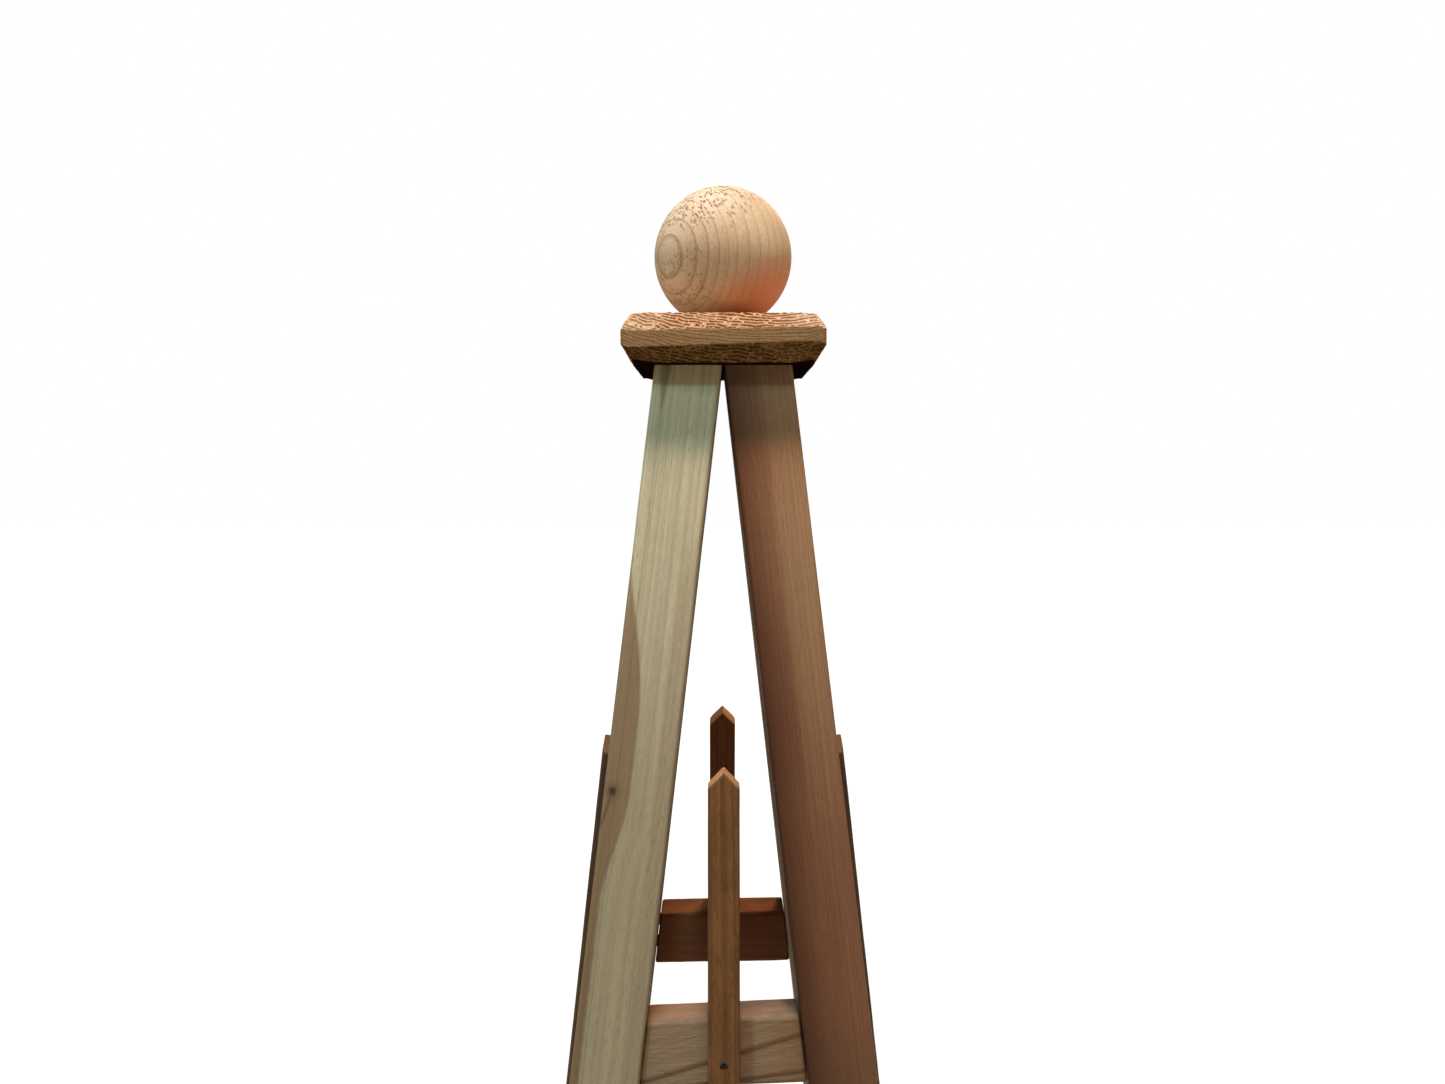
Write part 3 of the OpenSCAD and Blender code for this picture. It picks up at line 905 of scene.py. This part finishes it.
leg_timber = [
    timber("front_left_cedar", (0.60, 0.505, 0.34), (0.41, 0.335, 0.205), 1, HALF_LEG, pith=(-0.2, 0.03),
           ring=0.0050, ring_depth=0.4, late_span=(0.1, 0.9), streak=0.2, sway=0.0008, bend=left_bend,
           touch=left_touch, fleck=0.3, arris=(0.4, 0.15), bump=0.00022),
    timber("front_right_cedar", (0.335, 0.185, 0.1), (0.24, 0.12, 0.06), 2, HALF_LEG, pith=(-0.25, 0.35),
           ring=0.0021, ring_depth=0.3, streak=0.22, sway=0.001, touch=right_touch, arris=(0.5, 0.3),
           fleck=0.35, bump=0.00022),
    timber("back_right_cedar", (0.42, 0.29, 0.17), (0.28, 0.17, 0.09), 3, HALF_LEG, ring=0.003),
    timber("back_left_cedar", (0.36, 0.22, 0.13), (0.25, 0.13, 0.07), 4, HALF_LEG, ring=0.0024),
]
for k in range(4):
    leg_piece(k, leg_timber[k])

# ---- Rails and laths: their timber -------------------------------------------

# How far each rail is out of level, in degrees, from the lowest level up.
RAIL_TILT = {"front": (0.3, -0.5, 0.6, 2.2), "right": (-0.4, 0.5, -0.6, 0.8),
             "back": (0.4, -0.3, 0.7, -1.0), "left": (-0.2, 0.6, -0.5, 0.7)}
# Pairs of colours are the early and the late wood of a growth ring.
TAN = ((0.345, 0.225, 0.13), (0.19, 0.085, 0.042))
ORANGE = ((0.31, 0.115, 0.036), (0.19, 0.062, 0.02))
BROWN = ((0.27, 0.135, 0.06), (0.16, 0.075, 0.03))
DARK = ((0.21, 0.066, 0.015), (0.12, 0.036, 0.009))
RAIL_WOOD = {"front": (BROWN, TAN, ORANGE, TAN), "right": (TAN, BROWN, TAN, ORANGE),
             "back": (TAN, ORANGE, BROWN, DARK), "left": (ORANGE, TAN, BROWN, TAN)}
LATH_TIP = up_face(lath_high.z, RAIL_INSET - LATH_THICK)
# The side laths are near black: painted shade.
SHADED_SIDE_LATH = ((0.085, 0.042, 0.017), (0.05, 0.025, 0.011))
LATH_WOOD = {"front": ((0.205, 0.08, 0.019), (0.1, 0.035, 0.009)), "right": SHADED_SIDE_LATH,
             "back": ((0.26, 0.1, 0.022), (0.14, 0.055, 0.013)), "left": SHADED_SIDE_LATH}
# The end grain on each lath's point, and the fringe under it. The bright points of the front and back laths
# are in part painted highlight.
DULL_POINT = ((0.19, 0.08, 0.028), (0.14, 0.06, 0.022))
LATH_POINT = {"front": ((0.5, 0.25, 0.11), (0.4, 0.18, 0.065)), "right": DULL_POINT,
              "back": ((0.5, 0.26, 0.12), (0.36, 0.16, 0.06)), "left": DULL_POINT}


def rail_top(n, x):
    """1 on a rail's top face."""
    return n.step(x, RAIL_HEIGHT / 2 - 0.0022, RAIL_HEIGHT / 2 - 0.0008)


def marked_rail(n, colour, x, ring_x, y, z):
    """Two bold ring lines across the front rail, an oranger right end and a pinkish top, with painted shade
    and shadow.
    """
    # The right end is oranger and darker: wood tone, and beside the lath painted shadow of the lath.
    colour = n.mix(n.times(n.step(z, -0.005, -0.055), 0.85), colour, (0.285, 0.135, 0.05))
    upper = n.math("ADD", ring_x, 0.0034)
    lower = n.math("ADD", n.scaled(z, -0.15, ring_x), 0.0165)
    for place in (upper, lower):
        line = n.span(place, (-0.0011, -0.0002), (0.0032, 0.0006))
        colour = n.mix(n.times(line, 0.8), colour, (0.13, 0.052, 0.02))
    # Grey patches on the top: painted shade.
    shade_patches = n.step(n.noise(n.join(0.0, y, z), (1, 90, 55)), 0.45, 0.6)
    pink = n.mix(shade_patches, (0.28, 0.165, 0.112), (0.2, 0.14, 0.1))
    # The left part of the top is darker: painted shadow of the lath and leg.
    pink = n.mix(n.times(n.step(z, 0.0, 0.03), 0.4), pink, (0.19, 0.125, 0.085))
    return n.mix(n.times(rail_top(n, x), 0.85), colour, pink)


def back_rail(n, colour, x, ring_x, y, z):
    """The orange top of the back rail, with patches of painted light and duller towards one end."""
    # Brighter patches on the top: painted light falling through the gaps between the parts.
    light_patches = n.step(n.noise(n.join(0.0, y, z), (1, 60, 25)), 0.42, 0.6)
    orange = n.mix(light_patches, (0.16, 0.052, 0.015), (0.31, 0.098, 0.026))
    orange = n.mix(n.times(n.step(z, -0.005, -0.03), 0.55), orange, (0.13, 0.062, 0.019))
    return n.mix(n.times(rail_top(n, x), 0.85), colour, orange)


def pointed(end_grain, fringe):
    """Brighter end grain on the sloping tops of a lath, in part painted highlight, with a paler fringe under
    them.
    """
    def touch(n, colour, x, ring_x, y, z):
        figure = n.noise(n.join(x, y, z), (150, 60, 60), 3.0, 0.65)
        colour = n.tone(colour, n.scaled(n.step(figure, 0.38, 0.64), -0.24, 1.1))
        down = n.minus(LATH_TIP, n.math("ADD", z, n.size(x)))
        colour = n.mix(n.times(n.step(down, 0.0035, 0.0008), 0.4), colour, fringe)
        return n.mix(n.times(n.step(down, 0.0011, 0.0005), 0.9), colour, end_grain)
    return touch


def rail_timber(side, level):
    """One rail's wood. The front top rail has two bold ring lines, and the back top rail is plain."""
    name = f"{side}_{LEVELS[level]}_rail_cedar"
    early, late = RAIL_WOOD[side][level]
    seed = 30 + 4 * SIDES.index(side) + level
    if (side, LEVELS[level]) == ("front", "top"):
        return timber(name, early, late, seed, HALF_RAIL, pith=(-0.3, 0.0), ring=0.0045, slant=0.25,
                      sway=0.0012, ring_depth=0.15, streak=0.22, touch=marked_rail)
    if (side, LEVELS[level]) == ("back", "top"):
        return timber(name, early, late, seed, HALF_RAIL, pith=(0.1, 0.06), ring=0.009, slant=0.06,
                      late_span=(0.5, 0.9), ring_depth=0.4, streak=0.16, touch=back_rail)
    return timber(name, early, late, seed, HALF_RAIL, pith=(0.1, 0.06), ring=0.0065, slant=0.12,
                  late_span=(0.6, 0.9), ring_depth=0.65, streak=0.2)


def lath_timber(k):
    """One lath's wood, with its pale point."""
    early, late = LATH_WOOD[SIDES[k]]
    return timber(f"{SIDES[k]}_lath_cedar", early, late, 60 + k, HALF_LATH, pith=(0.1, -0.05), ring=0.0042,
                  slant=0.015, sway=0.0025, ring_depth=0.6, late_span=(0.45, 0.9), uneven=0.35,
                  touch=pointed(*LATH_POINT[SIDES[k]]), streak=0.36, fleck=0.45)


for k, side in enumerate(SIDES):
    for level in range(4):
        rail_piece(k, level, math.radians(RAIL_TILT[side][level]), rail_timber(side, level))
    lath_piece(k, lath_timber(k))

# ---- Cap, ball and fastenings ------------------------------------------------

cap_piece(cap_cedar("cap_cedar"))
ball_piece(ball_cedar("ball_cedar"))

screw_steel = steel("screw_steel")
dowel_beech = beech("dowel_beech")
for name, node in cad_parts.items():
    if "screw" in name or "dowel" in name:
        node.data.materials.clear()
        node.data.materials.append(screw_steel if "screw" in name else dowel_beech)

# ---- Studio ------------------------------------------------------------------

scene.view_settings.view_transform = "Standard"


def floor():
    """A pale floor that glows a little further off, so that it meets the white backdrop."""
    size = 30.0
    corners = [(-size, -size, 0), (size, -size, 0), (size, size, 0), (-size, size, 0)]
    mesh = make_mesh("floor", corners, [(0, 1, 2, 3)])
    n = material_nodes("floor_paint")
    place = n.node("ShaderNodeTexCoord").outputs["Object"]
    far = n.step(n.length(place), 0.8, 3.5)
    n.fill(n.shader.inputs["Base Color"], (0.82, 0.82, 0.82))
    n.fill(n.shader.inputs["Roughness"], 0.9)
    n.fill(n.shader.inputs["Emission Color"], WHITE)
    n.fill(n.shader.inputs["Emission Strength"], n.scaled(far, 0.35, 0.62))
    mesh.materials.append(n.owner)
    made = add_object("floor", mesh)
    made.visible_diffuse = False


def backdrop(upper, level, lower):
    """A world that looks white and lights the object softly: from above, from all round and from below."""
    world = bpy.data.worlds.new("studio")
    scene.world = world
    n = Nodes(world)
    seen, lit = n.tree.nodes["Background"], n.node("ShaderNodeBackground")
    n.fill(seen.inputs["Color"], WHITE)
    height = n.split(n.node("ShaderNodeTexCoord").outputs["Generated"])[2]
    shade = n.mix(n.step(height, -0.25, 0.25, False), lower, upper)
    near = n.step(n.size(height), 0.5, 0.0, False)
    n.fill(lit.inputs["Color"], n.mix(near, shade, level))
    either = n.node("ShaderNodeMixShader")
    n.fill(either.inputs[0], n.node("ShaderNodeLightPath").outputs["Is Camera Ray"])
    n.fill(either.inputs[1], lit.outputs[0])
    n.fill(either.inputs[2], seen.outputs[0])
    n.fill(n.tree.nodes["World Output"].inputs["Surface"], either.outputs[0])


def aim(name, light, position, target, colour):
    light.color = colour
    made = add_object(name, light)
    made.location = position
    made.rotation_euler = (Vector(target) - Vector(position)).to_track_quat("-Z", "Y").to_euler()
    made.visible_camera = False


def lamp(name, position, target, size, power, colour, spread=math.pi):
    light = bpy.data.lights.new(name, "AREA")
    light.shape = "DISK"
    light.size = size
    light.energy = power
    light.spread = spread
    aim(name, light, position, target, colour)


def beam(name, position, target, radius, power, colour, cone):
    """A lamp whose light fades out smoothly towards the edge of its cone."""
    light = bpy.data.lights.new(name, "SPOT")
    light.shadow_soft_size = radius
    light.energy = power
    light.spot_size = cone
    light.spot_blend = 1.0
    aim(name, light, position, target, colour)


HEAD = (0, 0, LEG_TOP - 0.05)
BALL = (0, 0, LEG_TOP + 0.068)
BACK = (0.5, 1.5, LEG_TOP + 1.1)
WARM = (1.0, 0.84, 0.76)
ORANGE_LIGHT = (1.0, 0.5, 0.24)
floor()
backdrop((0.24, 0.23, 0.17), (0.34, 0.30, 0.19), (0.10, 0.055, 0.025))
beam("beam", (-0.02, -0.247, LEG_TOP + 1.03), (0, -0.03, LEG_TOP + 0.05), 0.093, 57, WARM, math.radians(15))
lamp("key", (0.07, -0.247, LEG_TOP + 1.03), HEAD, 0.19, 9, WARM)
lamp("cool", (-0.81, -1.30, LEG_TOP + 1.36), HEAD, 0.2, 15, (0.6, 1.0, 1.12))
beam("left", (-0.74, -0.3, LEG_TOP - 0.04), BALL, 0.08, 15.0, (1.0, 0.71, 0.46), math.radians(11))
beam("right", (0.78, -0.22, LEG_TOP - 0.09), BALL, 0.08, 14.0, (1.0, 0.8, 0.58), math.radians(15))
beam("below", (0.1, -0.75, LEG_TOP - 0.3), BALL, 0.08, 4.2, (1.0, 0.64, 0.44), math.radians(8))
lamp("back", BACK, (0, 0, LEG_TOP - 0.2), 0.6, 12, ORANGE_LIGHT)
beam("rails", BACK, (0, 0, LEG_TOP - 0.34), 0.3, 125, ORANGE_LIGHT, math.radians(19))
for x, y in ((-1.9, -1.7), (2.1, -1.2), (-1.6, 2.1), (2.0, 1.9)):
    lamp(f"low_{x}_{y}", (x, y, 0.5), (0, 0, 0.36), 0.6, 4, (1.0, 0.93, 0.86), math.radians(36))

# ---- Camera ------------------------------------------------------------------

camera = add_object("camera", bpy.data.cameras.new("camera"))
camera.data.sensor_width = 36.0
camera.data.lens = 23.2692
camera.data.clip_start = 0.02
camera.location = (-0.0033, -0.5715, LEG_TOP - 0.0605)
camera.rotation_euler = (math.radians(90 - 4.25), 0, math.radians(-0.3))
scene.camera = camera
